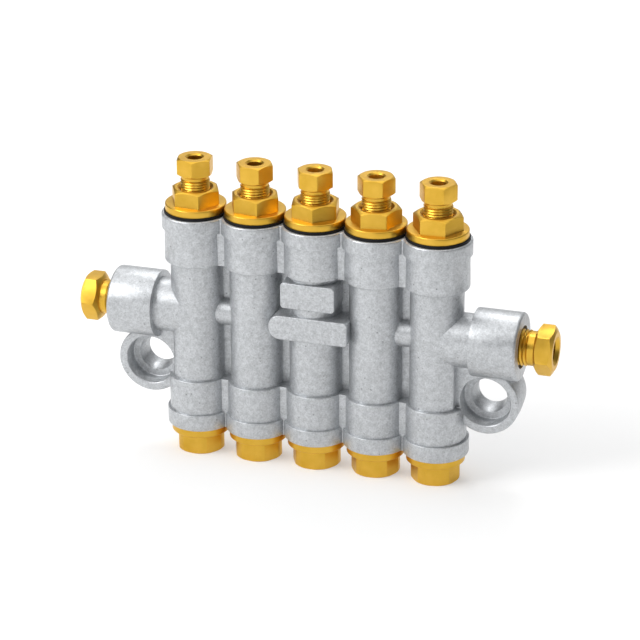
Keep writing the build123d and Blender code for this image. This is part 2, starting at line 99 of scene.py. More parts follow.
def name_it(piece, name):
    """Gives a piece and its mesh the same name."""
    piece.name = name
    piece.data.name = name
    return piece


deselect()
print("pieces still selected:", len(bpy.context.selected_objects))

# %% [markdown]
# Every height and radius below belongs to the real part. The casting's ends, the columns' axes and
# the supply line come from the loaded nodes, so the new pieces can't drift away from them. The
# steps between them are named here, in millimetres, as on a workshop drawing.
# %% Sizes of the casting
casting_low_corner, casting_high_corner = (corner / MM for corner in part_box("distributor_body"))
casting_low, casting_top = casting_low_corner.z, casting_high_corner.z
mount_face = casting_high_corner.y
boss_face = casting_high_corner.x

outlet_numbers = range(1, 6)


def middle_of(node):
    """Middle of a node's box, in metres."""
    low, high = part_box(node)
    return (low + high) / 2


column_x = [middle_of(f"plug_seal_{number}").x / MM for number in outlet_numbers]
last_x = column_x[-1]
supply_z = middle_of("port_ferrule_left").z / MM

low_shoulder_low = casting_low + 4.73
barrel_low = low_shoulder_low + 9.77
top_collar_low = casting_top - 4.1
barrel_top = top_collar_low - 9.6
low_collar_radius, low_shoulder_radius, barrel_radius = 9.07, 8.35, 7.3
top_shoulder_radius, top_collar_radius = 8.8, 9.37
wall_back = 4.35
lug_x, lug_z = last_x + 13.95, supply_z - 16.95
lug_front, lug_radius = -1.4, 9.35
print("columns at", [round(x, 2) for x in column_x], "supply line at", round(supply_z, 2))

# %% [markdown]
# A column is a stack of rings: a collar and a shoulder below, a slim barrel, and a shoulder and a
# collar on top. It could be put together ring by ring, but one outline of (radius, height) corners
# says it all. A corner gets a small arc where the cast edge is soft, because a perfectly sharp
# edge never catches the light. The top shoulder leans by a hair, as the mould needed.
# %% Outline of a column


def rounded(corners, segments=4):
    """Outline from (radius, height, rounding) corners, in millimetres."""
    outline = []
    for number, (radius, height, rounding) in enumerate(corners):
        corner = Vector((radius, height))
        if rounding == 0:
            outline.append(corner)
            continue
        back = (Vector(corners[number - 1][:2]) - corner).normalized()
        ahead = (Vector(corners[number + 1][:2]) - corner).normalized()
        half = back.angle(ahead) / 2
        middle = corner + (back + ahead).normalized() * rounding / math.sin(half)
        first = corner + back * rounding / math.tan(half) - middle
        last = corner + ahead * rounding / math.tan(half) - middle
        for step in range(segments + 1):
            outline.append(middle + first.slerp(last, step / segments) * rounding)
    return outline


draft = 0.15
column_outline = rounded([
    (0, casting_low, 0),
    (low_collar_radius, casting_low, 0.5),
    (low_collar_radius, low_shoulder_low, 0.2),
    (low_shoulder_radius, low_shoulder_low, 0),
    (low_shoulder_radius, barrel_low, 0.25),
    (barrel_radius, barrel_low, 0),
    (barrel_radius, barrel_top, 0),
    (top_shoulder_radius, barrel_top, 0.5),
    (top_shoulder_radius - draft, top_collar_low, 0),
    (top_collar_radius, top_collar_low, 0),
    (top_collar_radius, casting_top, 0.5),
    (0, casting_top, 0),
])
print("a column's outline has", len(column_outline), "points")

# %% [markdown]
# The mould of a round shape is cut on a lathe, and the model is made like that too: one vertex is
# extruded along half of the section, and spin turns the section round the axis. A cylinder for
# each ring would leave seams to hide, while a turned section is one closed skin.
# %% The lathe, and the first column


def lathe(name, outline, centre=(0, 0, 0), along=(0, 0, 1), across=(1, 0, 0), steps=96):
    """Turns an outline of (radius, height) points round the axis that runs along from centre."""
    centre, along, across = Vector(centre), Vector(along), Vector(across)
    points = [centre + (across * radius + along * height) * MM for radius, height in outline]
    deselect()
    bpy.ops.mesh.primitive_plane_add(size=MM)
    piece = name_it(bpy.context.object, name)
    bpy.ops.object.mode_set(mode="EDIT")
    bpy.ops.mesh.select_mode(type="VERT")
    bpy.ops.mesh.select_all(action="SELECT")
    bpy.ops.mesh.merge(type="CENTER")
    bpy.ops.transform.translate(value=points[0])
    for here, there in zip(points, points[1:]):
        bpy.ops.mesh.extrude_region_move(TRANSFORM_OT_translate={"value": there - here})
    bpy.ops.mesh.select_all(action="SELECT")
    bpy.ops.mesh.spin(steps=steps, angle=math.tau, center=centre, axis=along)
    bpy.ops.mesh.select_all(action="SELECT")
    bpy.ops.mesh.remove_doubles(threshold=0.001 * MM)
    bpy.ops.mesh.normals_make_consistent(inside=False)
    bpy.ops.object.mode_set(mode="OBJECT")
    return piece


def triangles(piece):
    """Number of triangles in a piece's mesh."""
    return sum(len(polygon.vertices) - 2 for polygon in piece.data.polygons)


first_foot = (column_x[0] * MM, 0, 0)
first_column = lathe("raw_column_1", column_outline, centre=first_foot)
print("first column:", triangles(first_column), "triangles")

# %% [markdown]
# All five columns are alike, so the first one is copied along the row. Each copy gets a mesh of its
# own, because the outer two will be cut differently, and its place goes into that mesh.
# %% The other columns


def copy_to(piece, name, offset):
    """Copy of a piece, moved by offset in metres, with its place in its own mesh."""
    take(piece)
    bpy.ops.object.duplicate(linked=False)
    bpy.ops.transform.translate(value=offset)
    bpy.ops.object.transform_apply(location=True, rotation=True, scale=True)
    return name_it(bpy.context.object, name)


def along_the_row(first, name):
    """The first column's piece, and a copy of it at each other column."""
    row = [first]
    for number, x in zip(outlet_numbers[1:], column_x[1:]):
        row.append(copy_to(first, f"{name}_{number}", ((x - column_x[0]) * MM, 0, 0)))
    return row


raw = along_the_row(first_column, "raw_column")
print("columns:", len(raw))

# %% [markdown]
# Three more bench tools follow: a block between two corners, a modifier that is applied at once,
# and a boolean that takes its second piece away when it is done. Modifiers could stay live, but the
# next steps read the mesh, so each result is made real before it is used.
# %% Blocks, modifiers and booleans


def block(name, low, high):
    """Block between two corners, in millimetres."""
    low, high = Vector(low) * MM, Vector(high) * MM
    deselect()
    bpy.ops.mesh.primitive_cube_add(size=1, location=(low + high) / 2, scale=high - low)
    bpy.ops.object.transform_apply(location=True, rotation=True, scale=True)
    return name_it(bpy.context.object, name)


def finish_with(piece, kind, **settings):
    """Adds a modifier with these settings and applies it."""
    take(piece)
    modifier = piece.modifiers.new(kind.lower(), kind)
    for setting, value in settings.items():
        setattr(modifier, setting, value)
    bpy.ops.object.modifier_apply(modifier=modifier.name)
    return piece


def combine(piece, other, operation, solver="EXACT"):
    """Boolean of two pieces, which uses the second one up."""
    finish_with(piece, "BOOLEAN", object=other, operation=operation, solver=solver)
    bpy.data.objects.remove(other)
    return piece


print("bench tools:", [tool.__name__ for tool in (block, finish_with, combine)])

# %% [markdown]
# Beside each lug the outer column has a flat side, cut back so that a screw head has room there.
# An outline can't say this, because a lathe would carry it all the way round, so a block cuts it.
# %% Flats beside the lugs
flat_inner, flat_outer = last_x + 5.95, last_x + 10.0
flat_low, flat_top = barrel_low + 0.05, supply_z - 3.0
for side, column in ((-1, raw[0]), (1, raw[-1])):
    inner, outer = sorted((side * flat_inner, side * flat_outer))
    flat_cut = block("flat_cut", (inner, -10.0, flat_low), (outer, lug_front + 1.0, flat_top))
    combine(column, flat_cut, "DIFFERENCE", solver="MANIFOLD")
print("outer columns:", triangles(raw[0]), "triangles each")

# %% [markdown]
# Walls join the columns: thick ones between the collars at both ends, and a thin one, set far back,
# between the barrels. One long block does for each, because the columns stand in front of what
# isn't needed. Its edges are bevelled a little, like every cast edge.
# %% Walls between the columns
edge_rounding = 0.3
overlap = 1.0
walls = (
    (casting_low, barrel_low, -3.5),
    (barrel_low - overlap, barrel_top + overlap, 0.3),
    (barrel_top, casting_top, -4.35),
)
for low, high, front in walls:
    wall = block("raw_wall", (-last_x, front, low), (last_x, wall_back, high))
    raw.append(finish_with(wall, "BEVEL", width=edge_rounding * MM, segments=3))
print("walls:", len(walls))

# %% [markdown]
# Two raised pads stand in front of the middle column. A drawn outline could be extruded for each,
# but a block is quicker: the edges that run back are bevelled first, wide enough to give the pad
# its round ends, and then the rim of the front face, very little.
# %% Pads
pad_front, pad_back = -8.0, 1.0


def bevel_edges(piece, wanted, offset, segments):
    """Bevels the edges whose two ends satisfy the test."""
    take(piece)
    bpy.ops.object.mode_set(mode="EDIT")
    bpy.ops.mesh.select_mode(type="EDGE")
    bpy.ops.mesh.select_all(action="DESELECT")
    bpy.ops.object.mode_set(mode="OBJECT")
    for edge in piece.data.edges:
        ends = [piece.data.vertices[vertex].co / MM for vertex in edge.vertices]
        edge.select = wanted(*ends)
    bpy.ops.object.mode_set(mode="EDIT")
    bpy.ops.mesh.bevel(offset=offset * MM, segments=segments, affect="EDGES")
    bpy.ops.object.mode_set(mode="OBJECT")


def pad(name, width, height, rise, roundings):
    """Raised pad, a rise above the supply line, whose two ends have roundings of their own."""
    middle, near_the_end, whole_depth = supply_z + rise, width * 0.45, 8.0
    piece = block(name, (-width / 2, pad_front, middle - height / 2),
                  (width / 2, pad_back, middle + height / 2))
    for side, rounding in zip((-1, 1), roundings):
        bevel_edges(piece, lambda one, two: (abs(one.y - two.y) > whole_depth
                                             and one.x * side > near_the_end), rounding, 8)
    bevel_edges(piece, lambda one, two: max(one.y, two.y) < pad_front + 0.01, edge_rounding, 3)
    return piece


raw.append(pad("raw_top_pad", width=15.2, height=7.3, rise=10.05, roundings=(1.0, 1.0)))
raw.append(pad("raw_low_pad", width=22.2, height=6.9, rise=0.5, roundings=(3.2, 1.0)))
print("raw solids so far:", len(raw))

# %% [markdown]
# At each end the supply line leaves through a tapered neck and a big round boss, and under it
# hangs a lug for a mounting screw. They are round as well, so each is an outline for the lathe.
# %% Outlines of boss and lug
neck_radius, boss_radius = 7.45, 9.31
boss_low = last_x + 10.77
boss_outline = rounded([
    (0, last_x, 0),
    (neck_radius - 0.25, last_x, 0),
    (neck_radius, last_x + 3.0, 0),
    (neck_radius, boss_low, 0),
    (boss_radius, boss_low, 0.12),
    (boss_radius, boss_face, 0.8),
    (0, boss_face, 0),
])
lug_outline = rounded([
    (0, lug_front, 0),
    (lug_radius, lug_front, 0.45),
    (lug_radius, 4.0, 0),
    (lug_radius - 0.5, mount_face, 0.3),
    (0, mount_face, 0),
])
print("outline points:", len(boss_outline), "for a boss,", len(lug_outline), "for a lug")

# %% [markdown]
# The tube and the bosses turn round the supply line, the lugs round their screws. A gusset fills
# the corner between column, boss and lug. It is flat, so a block is enough: its edges all end
# inside the round solids beside it, and only its front and its back can be seen.
# %% Tube, bosses, lugs and gussets
line = (0, 0, supply_z * MM)
tube_radius = 3.75
lug_centres = [(side * lug_x * MM, 0, lug_z * MM) for side in (-1, 1)]


def on_the_line(name, outline, side=1):
    """Turns an outline round the supply line, towards the left (-1) or the right (1)."""
    return lathe(name, outline, centre=line, along=(side, 0, 0), across=(0, 0, 1))


raw.append(on_the_line("raw_tube", [(0, -last_x), (tube_radius, -last_x),
                                    (tube_radius, last_x), (0, last_x)]))
for side, lug_centre in zip((-1, 1), lug_centres):
    raw.append(on_the_line("raw_boss", boss_outline, side))
    raw.append(lathe("raw_lug", lug_outline, centre=lug_centre, along=(0, 1, 0)))
    inner, outer = sorted((side * last_x, side * lug_x))
    raw.append(block("raw_gusset", (inner, lug_front - 0.02, lug_z), (outer, wall_back, supply_z)))
print("raw solids:", len(raw))

# %% [markdown]
# The real casting is one lump, so all the solids become one skin. A voxel remesh would also join
# them and blur every step on the way. A boolean union keeps the steps as crisp as the mould's.
# %% One skin from all the solids
cast_body = name_it(raw[0], "cast_body")
for solid in raw[1:]:
    combine(cast_body, solid, "UNION", solver="MANIFOLD")
print("skin:", triangles(cast_body), "triangles")

# %% [markdown]
# A casting leaves the mould solid and is drilled afterwards, and so is the model: the path of each
# tool is turned as a solid and subtracted. From the top down a column has the nipple's thread, a
# narrower bore for the piston, the plug's thread and the seat of its seal.
# %% Bore the columns
seat_radius, thread_bore, piston_bore = 7.0, 6.1, 4.5
plug_seat_top, plug_thread_top = casting_low + 1.5, casting_low + 8.05
nipple_thread_low = casting_top - 11.7


def join(name, pieces):
    """All the pieces as one object."""
    take(pieces[0])
    for piece in pieces:
        piece.select_set(True)
    bpy.ops.object.join()
    return name_it(bpy.context.object, name)


column_bore_outline = rounded([
    (0, casting_low - overlap, 0),
    (seat_radius, casting_low - overlap, 0),
    (seat_radius, plug_seat_top, 0),
    (thread_bore, plug_seat_top, 0),
    (thread_bore, plug_thread_top, 0),
    (piston_bore, plug_thread_top, 0),
    (piston_bore, nipple_thread_low, 0),
    (thread_bore, nipple_thread_low, 0),
    (thread_bore, casting_top + overlap, 0),
    (0, casting_top + overlap, 0),
])
first_bore = lathe("column_bore_1", column_bore_outline, centre=first_foot)
column_bores = join("column_bores", along_the_row(first_bore, "column_bore"))
combine(cast_body, column_bores, "DIFFERENCE", solver="MANIFOLD")
print("casting with its columns bored:", triangles(cast_body), "triangles")

# %% [markdown]
# One long drill makes the supply line, and each end gets the seat of a tube: a stop, a cone that
# squeezes the ferrule, the thread and a shallow relief at the mouth. The outline is written for
# the right half and mirrored for the left one, so both ends match to the last digit.
# %% Drill the supply line
line_drill, port_tube, port_cone, port_thread_bore, port_relief = 2.5, 3.05, 4.1, 5.1, 5.85
seat_mouth, relief_low = 50.4, boss_face - 1.2
cone_depth = (port_cone - port_tube) / math.tan(math.radians(20))
tube_stop = seat_mouth - cone_depth - 2.0
half_line = [
    (line_drill, tube_stop),
    (port_tube, tube_stop),
    (port_tube, seat_mouth - cone_depth),
    (port_cone, seat_mouth),
    (port_thread_bore, seat_mouth),
    (port_thread_bore, relief_low),
    (port_relief, relief_low),
    (port_relief, boss_face + overlap),
    (0, boss_face + overlap),
]
whole_line = [(radius, -height) for radius, height in reversed(half_line)] + half_line
combine(cast_body, on_the_line("supply_line", whole_line), "DIFFERENCE", solver="MANIFOLD")
print("supply line: cone", round(cone_depth, 2), "mm deep, stop at", round(tube_stop, 2))

# %% [markdown]
# Each lug takes a screw whose head sinks into a counterbore. The hole's mouth opens towards that
# floor, and the counterbore has a small chamfer, which draws the fine light ring at its rim. Both
# cuts are joined and subtracted in one go.
# %% Drill the lugs
counterbore_radius, counterbore_floor = 7.0, lug_front + 4.75
screw_radius, screw_mouth = 4.4, 5.0
screw_outline = rounded([
    (0, lug_front - overlap, 0),
    (counterbore_radius + 1.2, lug_front - overlap, 0),
    (counterbore_radius, lug_front + 0.2, 0),
    (counterbore_radius, counterbore_floor, 0.4),
    (screw_mouth, counterbore_floor, 0.15),
    (screw_radius, lug_front + 8.0, 0),
    (screw_radius, mount_face + overlap, 0),
    (0, mount_face + overlap, 0),
])
screw_cuts = [lathe("screw_hole", screw_outline, centre=lug_centre, along=(0, 1, 0))
              for lug_centre in lug_centres]
combine(cast_body, join("screw_holes", screw_cuts), "DIFFERENCE", solver="MANIFOLD")
print("screw holes:", len(screw_cuts))

# %% [markdown]
# The casting is complete. Its round walls are made of narrow flat faces, which smooth shading
# blends, and an angle limit keeps the steps crisp. Then it rides on its body, takes the place of
# the node it was made for, and names the slot of its finish.
# %% Hand over the casting


def smooth(piece, degrees):
    """Smooth shading, with edges sharper than this angle kept crisp."""
    take(piece)
    bpy.ops.object.shade_smooth_by_angle(angle=math.radians(degrees))
    return piece


smooth(cast_body, 32)
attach(cast_body, "distributor")
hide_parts("distributor_body")
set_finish(cast_body, "cast_body")
print("casting:", triangles(cast_body), "triangles")

# %% [markdown]
# The fittings are hexagon bar, turned at the ends. A six-sided prism has its upright edges broken
# by a bevel, because drawn bar is never knife-sharp. Later a boolean with a turned blank gives the
# curved chamfers that every nut shows, which a plain bevel can't.
# %% Hexagon bar
crease = 28


def corner_radius(across_flats):
    """Radius of the circle through a hexagon's corners."""
    return across_flats / 2 / math.cos(math.radians(30))


def hexagon_bar(name, across_flats, low, high, centre, along=(0, 0, 1), turn=0):
    """Hexagon prism along an axis; one corner points to the front, turned by so many degrees."""
    corner = corner_radius(across_flats) * MM
    deselect()
    bpy.ops.mesh.primitive_cylinder_add(vertices=6, radius=corner, depth=(high - low) * MM)
    piece = name_it(bpy.context.object, name)
    bevel_edges(piece, lambda one, two: abs(one.z - two.z) > 0.1, 0.07, 2)
    along, front = Vector(along), Vector((0, -1, 0))
    aside = front.cross(along)
    place = Matrix((aside, front, along)).transposed().to_4x4()
    place.translation = Vector(centre) + along * (low + high) / 2 * MM
    piece.matrix_world = place @ Matrix.Rotation(math.radians(turn), 4, "Z")
    take(piece)
    bpy.ops.object.transform_apply(location=True, rotation=True, scale=True)
    return piece


def break_edges(piece, width):
    """Narrow bevel on every edge sharper than the crease angle."""
    return finish_with(piece, "BEVEL", width=width * MM, segments=2, limit_method="ANGLE",
                       angle_limit=math.radians(crease), use_clamp_overlap=True)


print("corners of a 12 mm hexagon reach", round(corner_radius(12.0), 2), "mm")

# %% [markdown]
# A metering nipple is what screws into a column. Its flange presses on the black seal, its mouth
# takes the outlet nut, and its thin riser reaches down to the piston. Three outlines describe it:
# the blank that rounds the hexagon's corners off, everything below the hexagon, and the bore.
# %% Outlines of a metering nipple
flange_radius = 8.35
flange_low = casting_top + 0.55
flange_top = flange_low + 2.15
nipple_top = flange_top + 4.4
nipple_flats, nipple_face = 12.0, 5.55
nipple_corner = corner_radius(nipple_flats)
chamfer_drop = (nipple_corner - nipple_face) * math.tan(math.radians(30))
spare, spare_drop = 0.1, 0.058
nipple_blank = [
    (0, flange_top - 0.5),
    (nipple_corner + spare, flange_top - 0.5),
    (nipple_corner + spare, nipple_top - chamfer_drop - spare_drop),
    (nipple_face, nipple_top),
    (0, nipple_top),
]
skirt_low, riser_shoulder, riser_neck, riser_foot, riser_end = 59.5, 46.0, 39.0, 35.0, 34.0
nipple_shank = rounded([
    (0, flange_top, 0),
    (flange_radius, flange_top, 0.3),
    (flange_radius, flange_low, 0.2),
    (6.0, flange_low, 0),
    (6.0, skirt_low + 0.5, 0),
    (5.5, skirt_low, 0),
    (4.44, skirt_low, 0),
    (4.44, riser_shoulder, 0),
    (2.2, riser_shoulder, 0),
    (2.2, riser_neck, 0),
    (1.5, riser_neck, 0),
    (1.5, riser_foot, 0),
    (2.1, riser_foot, 0),
    (2.1, riser_end, 0),
    (0, riser_end, 0),
])
dose_drill, tube_bore, cone_mouth, nut_thread_bore = 0.8, 2.05, 2.95, 4.1
dose_drill_low, tube_floor, cone_low, cone_top = 35.35, 65.63, 67.63, 70.1
nipple_bore = [
    (0, dose_drill_low),
    (dose_drill, dose_drill_low),
    (dose_drill, tube_floor),
    (tube_bore, tube_floor),
    (tube_bore, cone_low),
    (cone_mouth, cone_top),
    (nut_thread_bore, cone_top),
    (nut_thread_bore, nipple_top - 0.75),
    (nut_thread_bore + 0.75, nipple_top),
    (nut_thread_bore + 1.75, nipple_top + 1.0),
    (0, nipple_top + 1.0),
]
print("nipple's hexagon ends at height", round(nipple_top, 2))

# %% [markdown]
# Each nipple stopped at its own turn when it was tightened, so the hexagons aren't in line. That
# is why every one is built at its own angle instead of being copied: the flats then catch the
# light differently from column to column, as they do on the real part.
# %% Metering nipples
nipple_turns = (26.0, 23.0, 11.0, 39.5, 31.5)
for number, x, turn in zip(outlet_numbers, column_x, nipple_turns):
    axis_foot = (x * MM, 0, 0)
    nipple = hexagon_bar(f"turned_nipple_{number}", nipple_flats, flange_top - 0.5, nipple_top,
                         axis_foot, turn=turn)
    combine(nipple, lathe("blank", nipple_blank, centre=axis_foot), "INTERSECT")
    combine(nipple, lathe("shank", nipple_shank, centre=axis_foot), "UNION")
    combine(nipple, lathe("bore", nipple_bore, centre=axis_foot), "DIFFERENCE")
    break_edges(nipple, 0.07)
    smooth(nipple, crease)
    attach(nipple, "distributor")
    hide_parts(f"metering_nipple_{number}")
    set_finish(nipple, "brass")
print("nipples:", len(nipple_turns), "with", triangles(nipple), "triangles each")

# %% [markdown]
# Where a nut isn't screwed home, the first ridges of its thread can be seen. A bump map could fake
# them, but their outline against the light would stay straight, so they are real geometry: the
# turned wall gets closely spaced rings, whose points then move inwards along a helix.
# %% Threads


def threaded_wall(radius, low, high, pitch):
    """Closely spaced outline points up a wall that is to carry a thread."""
    rows = max(2, round((high - low) / (pitch / 8)))
    return [(radius, low + (high - low) * row / rows) for row in range(rows + 1)]


def cut_thread(piece, centre, along, low, high, radius, pitch, depth):
    """Presses a thread into a turned wall: its points move inwards along a helix."""
    centre, along = Vector(centre), Vector(along)
    aside = along.orthogonal().normalized()
    other = along.cross(aside)
    for vertex in piece.data.vertices:
        arm = vertex.co - centre
        height = arm.dot(along) / MM
        arm -= along * arm.dot(along)
        if low < height < high and abs(arm.length / MM - radius) < 0.02:
            angle = math.atan2(arm.dot(other), arm.dot(aside)) / math.tau
            share = (height / pitch - angle) % 1.0
            inwards = depth * abs(2 * share - 1)
            vertex.co -= arm.normalized() * inwards * MM
    return piece


print("rings for one turn of thread:", len(threaded_wall(4.0, 0.0, 1.0, 1.0)) - 1)

# %% [markdown]
# All the nuts are sleeve nuts: a hexagon, a plain neck behind it, a threaded sleeve and a bore for
# the tube. One function makes both kinds from a table of sizes, because they differ in nothing
# else. Low and top are the hexagon's ends, and end is the tip of the sleeve.
# %% Sleeve nuts


def sleeve_nut(name, size, centre, along, across, turn):
    """Sleeve nut from a table of sizes, in millimetres along its axis."""
    axis = {"centre": centre, "along": along, "across": across}
    low, top, end, thread_top = size["low"], size["top"], size["end"], size["thread_top"]
    nut = hexagon_bar(name, size["flats"], low, top, centre, along, turn)
    corner = corner_radius(size["flats"]) + 0.05
    top_drop = (corner - size["face"]) * math.tan(math.radians(30))
    foot_rise = (corner - size["foot"]) * math.tan(math.radians(32))
    blank = lathe("blank", [(0, low), (size["foot"], low), (corner, low + foot_rise),
                            (corner, top - top_drop), (size["face"], top), (0, top)], **axis)
    combine(nut, blank, "INTERSECT")
    neck, radius, pitch, thread_low = size["neck"], size["thread"], size["pitch"], end + 0.5
    sleeve = lathe("sleeve", [(0, low + 1.0), (neck, low + 1.0), (neck, thread_top)]
                   + threaded_wall(radius, thread_low, thread_top, pitch)[::-1]
                   + [(radius - 0.5, end), (0, end)], **axis)
    cut_thread(sleeve, centre, along, thread_low, thread_top + 0.01, radius, pitch, size["depth"])
    combine(nut, sleeve, "UNION")
    tube, seat, mouth = size["tube"], size["seat"], size["mouth"]
    bore = lathe("bore", [(0, end - 1.0), (seat, end - 1.0), (seat, end),
                          (tube, end + size["seat_depth"]), (tube, top - size["mouth_depth"]),
                          (mouth, top), (mouth + 1.0, top + 1.0), (0, top + 1.0)], **axis)
    combine(nut, bore, "DIFFERENCE")
    break_edges(nut, size["edge"])
    return smooth(nut, crease)


print("sleeve nut tool ready")

# %% [markdown]
# The outlet nuts on top hold the thin tubes to the lubrication points. Their hexagon is small, its
# corners are turned off at both ends, and a countersink leads the tube in.
# %% Outlet nuts
nut_end, nut_top = (corner.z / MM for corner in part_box("outlet_nut_1"))
nut_low = nut_top - 5.25
outlet_size = {
    "flats": 9.0, "low": nut_low, "top": nut_top, "foot": 3.8, "face": 4.4,
    "neck": 3.7, "thread": 4.0, "thread_top": nut_low - 0.9, "pitch": 0.75, "depth": 0.3,
    "end": nut_end, "seat": 2.95, "seat_depth": 2.473,
    "tube": 2.05, "mouth": 2.5, "mouth_depth": 0.45, "edge": 0.06,
}
nut_turns = (10.0, 30.5, 23.0, 34.5, 31.0)
for number, x, turn in zip(outlet_numbers, column_x, nut_turns):
    nut = sleeve_nut(f"turned_outlet_nut_{number}", outlet_size, (x * MM, 0, 0), (0, 0, 1),
                     (1, 0, 0), turn)
    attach(nut, "distributor")
    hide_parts(f"outlet_nut_{number}")
    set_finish(nut, "brass")
print("outlet nuts:", len(nut_turns), "with", triangles(nut), "triangles each")

# %% [markdown]
# The plugs close the columns from below. Only the hexagon and the flange show, and the part stands
# on the hexagons' faces, so their lower edge is well rounded. Inside, a thread and a short spigot
# for the spring follow. The shading angle is small here, so that the narrow chamfers stay crisp.
# %% End plugs
plug_flats, plug_blank_radius, plug_hexagon_top = 12.6, 6.7, 6.0
plug_flange_radius, plug_flange_low = 8.05, 5.6
plug_thread_radius, plug_thread_end, spigot_radius, spigot_top = 6.0, 15.0, 2.6, 17.0
plug_blank = rounded([(0, 0, 0), (plug_blank_radius, 0, 0.5),
                      (plug_blank_radius, plug_hexagon_top, 0), (0, plug_hexagon_top, 0)])
plug_shank = rounded([
    (0, plug_flange_low, 0),
    (plug_flange_radius - 0.2, plug_flange_low, 0),
    (plug_flange_radius, plug_flange_low + 0.2, 0.05),
    (plug_flange_radius, casting_low, 0),
    (plug_thread_radius, casting_low, 0),
    (plug_thread_radius, plug_thread_end - 0.5, 0),
    (plug_thread_radius - 0.5, plug_thread_end, 0),
    (spigot_radius, plug_thread_end, 0),
    (spigot_radius, spigot_top - 0.5, 0),
    (spigot_radius - 0.5, spigot_top, 0),
    (0, spigot_top, 0),
])
plug_turns = (22.5, 22.5, 27.0, 33.5, 40.0)
for number, x, turn in zip(outlet_numbers, column_x, plug_turns):
    axis_foot = (x * MM, 0, 0)
    plug = hexagon_bar(f"turned_plug_{number}", plug_flats, 0.0, plug_hexagon_top, axis_foot,
                       turn=turn)
    combine(plug, lathe("blank", plug_blank, centre=axis_foot), "INTERSECT")
    combine(plug, lathe("shank", plug_shank, centre=axis_foot), "UNION")
    break_edges(plug, 0.07)
    smooth(plug, 10)
    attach(plug, "distributor")
    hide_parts(f"end_plug_{number}")
    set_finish(plug, "brass")
print("plugs:", len(plug_turns), "with", triangles(plug), "triangles each")

# %% [markdown]
# The supply line's tubes are held by two larger nuts of the same kind, which lie on their side. A
# mirrored copy would turn the thread's hand over, so the second nut is built towards its own side.
# %% Supply port nuts
port_nut_end, port_nut_out = (corner.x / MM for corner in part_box("port_nut_right"))
port_nut_low = port_nut_out - 5.2
port_size = {
    "flats": 12.0, "low": port_nut_low, "top": port_nut_out, "foot": 5.2, "face": 5.2,
    "neck": 4.7, "thread": 5.0, "thread_top": port_nut_low - 1.85, "pitch": 1.0, "depth": 0.4,
    "end": port_nut_end, "seat": port_cone, "seat_depth": cone_depth,
    "tube": port_tube, "mouth": 4.0, "mouth_depth": 0.95, "edge": 0.07,
}
for side, label, turn in ((-1, "left", 0.0), (1, "right", -11.0)):
    nut = sleeve_nut(f"turned_port_nut_{label}", port_size, line, (side, 0, 0), (0, 0, 1),
                     -side * turn)
    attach(nut, "distributor")
    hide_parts(f"port_nut_{label}")
    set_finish(nut, "brass")
print("port nuts with", triangles(nut), "triangles each")

# %% [markdown]
# The black line under every nipple is a rubber ring, squeezed so that it bulges a little past the
# flange. A torus could stand in for it, but a pressed ring has flat faces and a lip, so its own
# section is turned. All five are alike, and copies will do.
# %% Rubber seals
seal_bore, seal_lip, seal_neck = 6.2, 8.7, 8.37
lip_top = flange_low + 0.22
first_seal = lathe("pressed_seal_1", rounded([
    (seal_bore, casting_top, 0),
    (seal_lip, casting_top, 0.12),
    (seal_lip - 0.05, lip_top, 0.1),
    (seal_neck, lip_top, 0),
    (seal_neck, flange_low, 0),
    (seal_bore, flange_low, 0),
    (seal_bore, casting_top, 0),
]), centre=first_foot)
seals = along_the_row(first_seal, "pressed_seal")
for number, seal in zip(outlet_numbers, seals):
    smooth(seal, 40)
    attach(seal, "distributor")
    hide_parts(f"nipple_seal_{number}")
    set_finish(seal, "rubber")
print("seals:", len(seals))

# %% [markdown]
# A return spring is one wire wound into a helix. A curve with a round bevel could follow it, but
# the Screw modifier winds a small circle up directly, in even steps. The wire's two ends stay open
# rings, against the plug and the piston, where nothing sees them.
# %% Return springs
wire_radius, coil_radius, coil_turns = 0.35, 3.2, 6
spring_low, spring_high = (corner.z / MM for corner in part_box("return_spring_1"))
rise = spring_high - spring_low - 2 * wire_radius


def wound_spring(name, x):
    """Helix of wire wound round the column at x."""
    deselect()
    start = ((x + coil_radius) * MM, 0, (spring_low + wire_radius) * MM)
    bpy.ops.mesh.primitive_circle_add(vertices=10, radius=wire_radius * MM, fill_type="NGON",
                                      location=start, rotation=(math.pi / 2, 0, 0))
    bpy.ops.object.transform_apply(location=True, rotation=True, scale=True)
    spring = name_it(bpy.context.object, name)
    spring.location.x = -x * MM
    bpy.ops.object.transform_apply(location=True, rotation=True, scale=True)
    finish_with(spring, "SCREW", axis="Z", angle=math.tau * coil_turns, steps=24 * coil_turns,
                render_steps=24 * coil_turns, screw_offset=rise * MM, use_merge_vertices=False)
    spring.location.x = x * MM
    take(spring)
    bpy.ops.object.transform_apply(location=True, rotation=True, scale=True)
    bpy.ops.object.mode_set(mode="EDIT")
    bpy.ops.mesh.select_mode(type="VERT")
    bpy.ops.mesh.select_all(action="SELECT")
    bpy.ops.mesh.remove_doubles(threshold=0.001 * MM)
    bpy.ops.mesh.normals_make_consistent(inside=False)
    return smooth(spring, 60)


for number, x in zip(outlet_numbers, column_x):
    spring = wound_spring(f"wound_spring_{number}", x)
    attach(spring, "distributor")
    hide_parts(f"return_spring_{number}")
    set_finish(spring, "spring_steel")
    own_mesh(spring)

# %% [markdown]
# Now the finishes. An image could carry them, but it would need unwrapped faces and show its
# pixels close up. A node tree on Object coordinates has neither fault, and its pattern stays fixed
# to the piece. Noise makes clouds, and Voronoi cells make scattered spots.
# %% Materials and patterns


def material(name, color, metallic, roughness):
    """New material: its tree and its shader."""
    made = bpy.data.materials.new(name)
    made.use_nodes = True
    shader = made.node_tree.nodes["Principled BSDF"]
    shader.inputs["Base Color"].default_value = (*color, 1)
    shader.inputs["Metallic"].default_value = metallic
    shader.inputs["Roughness"].default_value = roughness
    return made, shader


